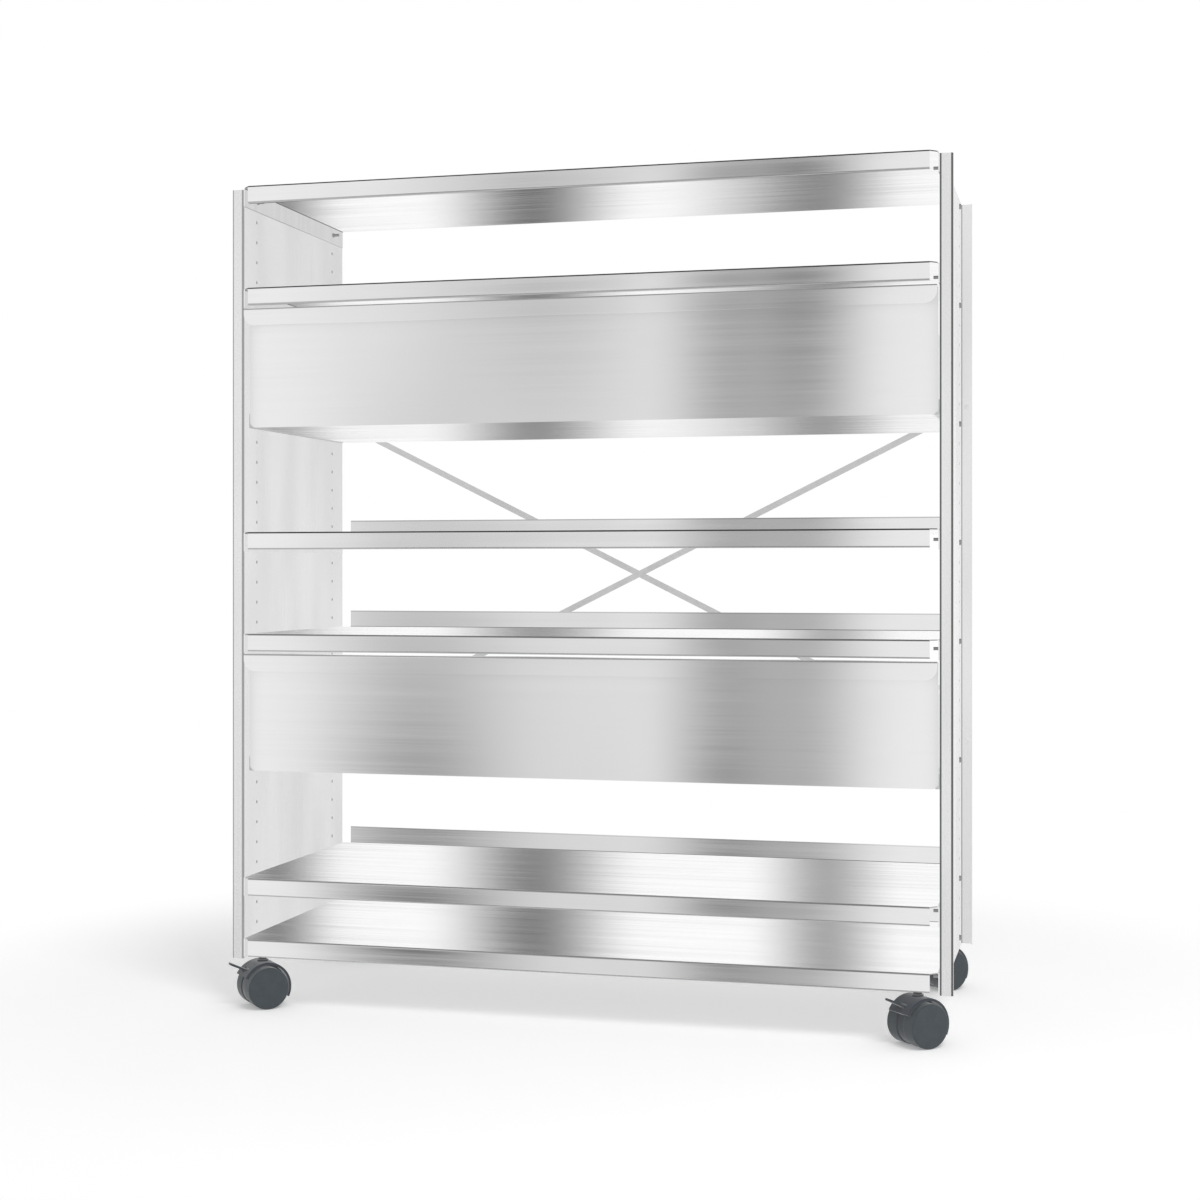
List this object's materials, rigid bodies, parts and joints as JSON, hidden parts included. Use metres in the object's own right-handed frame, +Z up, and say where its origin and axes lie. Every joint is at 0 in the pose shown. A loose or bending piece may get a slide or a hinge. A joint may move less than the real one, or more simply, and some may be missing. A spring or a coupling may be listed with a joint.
{
  "type": "sliding double bookcase",
  "caption": "Open sheet-metal bookcase on braked swivel castors, with folded shelves, full-width drawers with folded pulls and a crossed-strap back brace.",
  "frame": {"origin": "on the floor, midway between the side panels and midway through their depth", "axes": "+X to the right, +Y from front to back, +Z up; the drawers open along -Y"},
  "size_m": [1.1248, 0.4925, 1.319],
  "materials": {
    "panel_sheet": "vertically brushed, clear anodised",
    "shelf_sheet": "lengthwise brushed, clear anodised",
    "drawer_front_sheet": "lengthwise brushed, clear anodised",
    "drawer_tray_sheet": "lengthwise brushed, clear anodised",
    "bracket_sheet": "mill finish",
    "brace_strap_steel": "zinc plated, satin",
    "slide_steel": "zinc plated, satin",
    "fastener_zinc": "zinc plated",
    "castor_steel": "turned, zinc plated",
    "castor_housing_plastic": "moulded, fine satin texture",
    "castor_wheel_plastic": "moulded hard tread, scuffed",
    "brake_lever_plastic": "moulded, fine satin texture"
  },
  "bodies": {
    "carcass": {"side_panel_left": "panel_sheet", "side_panel_right": "panel_sheet", "bottom_shelf": "shelf_sheet", "low_shelf": "shelf_sheet", "lower_drawer_shelf": "shelf_sheet", "middle_shelf": "shelf_sheet", "upper_drawer_shelf": "shelf_sheet", "top_shelf": "shelf_sheet", "shelf_screws": "fastener_zinc", "shelf_nuts": "fastener_zinc", "slide_screws": "fastener_zinc", "brace_strap_inner": "brace_strap_steel", "brace_strap_outer": "brace_strap_steel", "brace_screws": "fastener_zinc", "brace_nuts": "fastener_zinc", "brace_spacers": "fastener_zinc", "castor_brackets": "bracket_sheet", "castor_stems": "castor_steel", "castor_stem_nuts": "fastener_zinc", "upper_slide_outer_left": "slide_steel", "upper_slide_outer_right": "slide_steel", "lower_slide_outer_left": "slide_steel", "lower_slide_outer_right": "slide_steel"},
    "upper_drawer": {"upper_drawer_front": "drawer_front_sheet", "upper_drawer_tray": "drawer_tray_sheet", "upper_drawer_nuts": "fastener_zinc", "upper_slide_inner_left": "slide_steel", "upper_slide_inner_right": "slide_steel"},
    "upper_middle_left": {"upper_slide_middle_left": "slide_steel"},
    "upper_middle_right": {"upper_slide_middle_right": "slide_steel"},
    "lower_drawer": {"lower_drawer_front": "drawer_front_sheet", "lower_drawer_tray": "drawer_tray_sheet", "lower_drawer_nuts": "fastener_zinc", "lower_slide_inner_left": "slide_steel", "lower_slide_inner_right": "slide_steel"},
    "lower_middle_left": {"lower_slide_middle_left": "slide_steel"},
    "lower_middle_right": {"lower_slide_middle_right": "slide_steel"},
    "castor_front_left": {"castor_housing_front_left": "castor_housing_plastic", "castor_axle_front_left": "castor_steel", "brake_pin_front_left": "castor_steel"},
    "wheel_a_front_left": {"castor_wheel_a_front_left": "castor_wheel_plastic"},
    "wheel_b_front_left": {"castor_wheel_b_front_left": "castor_wheel_plastic"},
    "brake_front_left": {"brake_lever_front_left": "brake_lever_plastic"},
    "castor_front_right": {"castor_housing_front_right": "castor_housing_plastic", "castor_axle_front_right": "castor_steel", "brake_pin_front_right": "castor_steel"},
    "wheel_a_front_right": {"castor_wheel_a_front_right": "castor_wheel_plastic"},
    "wheel_b_front_right": {"castor_wheel_b_front_right": "castor_wheel_plastic"},
    "brake_front_right": {"brake_lever_front_right": "brake_lever_plastic"},
    "castor_rear_left": {"castor_housing_rear_left": "castor_housing_plastic", "castor_axle_rear_left": "castor_steel"},
    "wheel_a_rear_left": {"castor_wheel_a_rear_left": "castor_wheel_plastic"},
    "wheel_b_rear_left": {"castor_wheel_b_rear_left": "castor_wheel_plastic"},
    "castor_rear_right": {"castor_housing_rear_right": "castor_housing_plastic", "castor_axle_rear_right": "castor_steel"},
    "wheel_a_rear_right": {"castor_wheel_a_rear_right": "castor_wheel_plastic"},
    "wheel_b_rear_right": {"castor_wheel_b_rear_right": "castor_wheel_plastic"}
  },
  "joints": [
    {"name": "upper_drawer_slide", "type": "slide", "parent": "carcass", "child": "upper_drawer", "axis": [0, -1, 0], "range_m": [0, 0.35]},
    {"name": "upper_middle_slide_left", "type": "slide", "parent": "carcass", "child": "upper_middle_left", "axis": [0, -1, 0], "range_m": [0, 0.175]},
    {"name": "upper_middle_slide_right", "type": "slide", "parent": "carcass", "child": "upper_middle_right", "axis": [0, -1, 0], "range_m": [0, 0.175]},
    {"name": "lower_drawer_slide", "type": "slide", "parent": "carcass", "child": "lower_drawer", "axis": [0, -1, 0], "range_m": [0, 0.35]},
    {"name": "lower_middle_slide_left", "type": "slide", "parent": "carcass", "child": "lower_middle_left", "axis": [0, -1, 0], "range_m": [0, 0.175]},
    {"name": "lower_middle_slide_right", "type": "slide", "parent": "carcass", "child": "lower_middle_right", "axis": [0, -1, 0], "range_m": [0, 0.175]},
    {"name": "castor_swivel_front_left", "type": "hinge", "parent": "carcass", "child": "castor_front_left", "pos_m": [-0.5115, -0.20525, 0.074], "axis": [0, 0, 1], "continuous": true},
    {"name": "wheel_spin_a_front_left", "type": "hinge", "parent": "castor_front_left", "child": "wheel_a_front_left", "pos_m": [-0.5115, -0.20525, 0.0325], "axis": [0.682, -0.7314, 0], "continuous": true},
    {"name": "wheel_spin_b_front_left", "type": "hinge", "parent": "castor_front_left", "child": "wheel_b_front_left", "pos_m": [-0.5115, -0.20525, 0.0325], "axis": [0.682, -0.7314, 0], "continuous": true},
    {"name": "brake_press_front_left", "type": "hinge", "parent": "castor_front_left", "child": "brake_front_left", "pos_m": [-0.53074, -0.22319, 0.0588], "axis": [0.682, -0.7314, 0], "range_deg": [0, 20]},
    {"name": "castor_swivel_front_right", "type": "hinge", "parent": "carcass", "child": "castor_front_right", "pos_m": [0.5115, -0.20525, 0.074], "axis": [0, 0, 1], "continuous": true},
    {"name": "wheel_spin_a_front_right", "type": "hinge", "parent": "castor_front_right", "child": "wheel_a_front_right", "pos_m": [0.5115, -0.20525, 0.0325], "axis": [0.682, -0.7314, 0], "continuous": true},
    {"name": "wheel_spin_b_front_right", "type": "hinge", "parent": "castor_front_right", "child": "wheel_b_front_right", "pos_m": [0.5115, -0.20525, 0.0325], "axis": [0.682, -0.7314, 0], "continuous": true},
    {"name": "brake_press_front_right", "type": "hinge", "parent": "castor_front_right", "child": "brake_front_right", "pos_m": [0.49226, -0.22319, 0.0588], "axis": [0.682, -0.7314, 0], "range_deg": [0, 20]},
    {"name": "castor_swivel_rear_left", "type": "hinge", "parent": "carcass", "child": "castor_rear_left", "pos_m": [-0.5115, 0.19975, 0.074], "axis": [0, 0, 1], "continuous": true},
    {"name": "wheel_spin_a_rear_left", "type": "hinge", "parent": "castor_rear_left", "child": "wheel_a_rear_left", "pos_m": [-0.5115, 0.19975, 0.0325], "axis": [0.682, -0.7314, 0], "continuous": true},
    {"name": "wheel_spin_b_rear_left", "type": "hinge", "parent": "castor_rear_left", "child": "wheel_b_rear_left", "pos_m": [-0.5115, 0.19975, 0.0325], "axis": [0.682, -0.7314, 0], "continuous": true},
    {"name": "castor_swivel_rear_right", "type": "hinge", "parent": "carcass", "child": "castor_rear_right", "pos_m": [0.5115, 0.19975, 0.074], "axis": [0, 0, 1], "continuous": true},
    {"name": "wheel_spin_a_rear_right", "type": "hinge", "parent": "castor_rear_right", "child": "wheel_a_rear_right", "pos_m": [0.5115, 0.19975, 0.0325], "axis": [0.682, -0.7314, 0], "continuous": true},
    {"name": "wheel_spin_b_rear_right", "type": "hinge", "parent": "castor_rear_right", "child": "wheel_b_rear_right", "pos_m": [0.5115, 0.19975, 0.0325], "axis": [0.682, -0.7314, 0], "continuous": true}
  ],
  "couplings": [
    {"joint": "upper_middle_slide_left", "follows": "upper_drawer_slide", "ratio": 0.5},
    {"joint": "upper_middle_slide_right", "follows": "upper_drawer_slide", "ratio": 0.5},
    {"joint": "lower_middle_slide_left", "follows": "lower_drawer_slide", "ratio": 0.5},
    {"joint": "lower_middle_slide_right", "follows": "lower_drawer_slide", "ratio": 0.5}
  ]
}
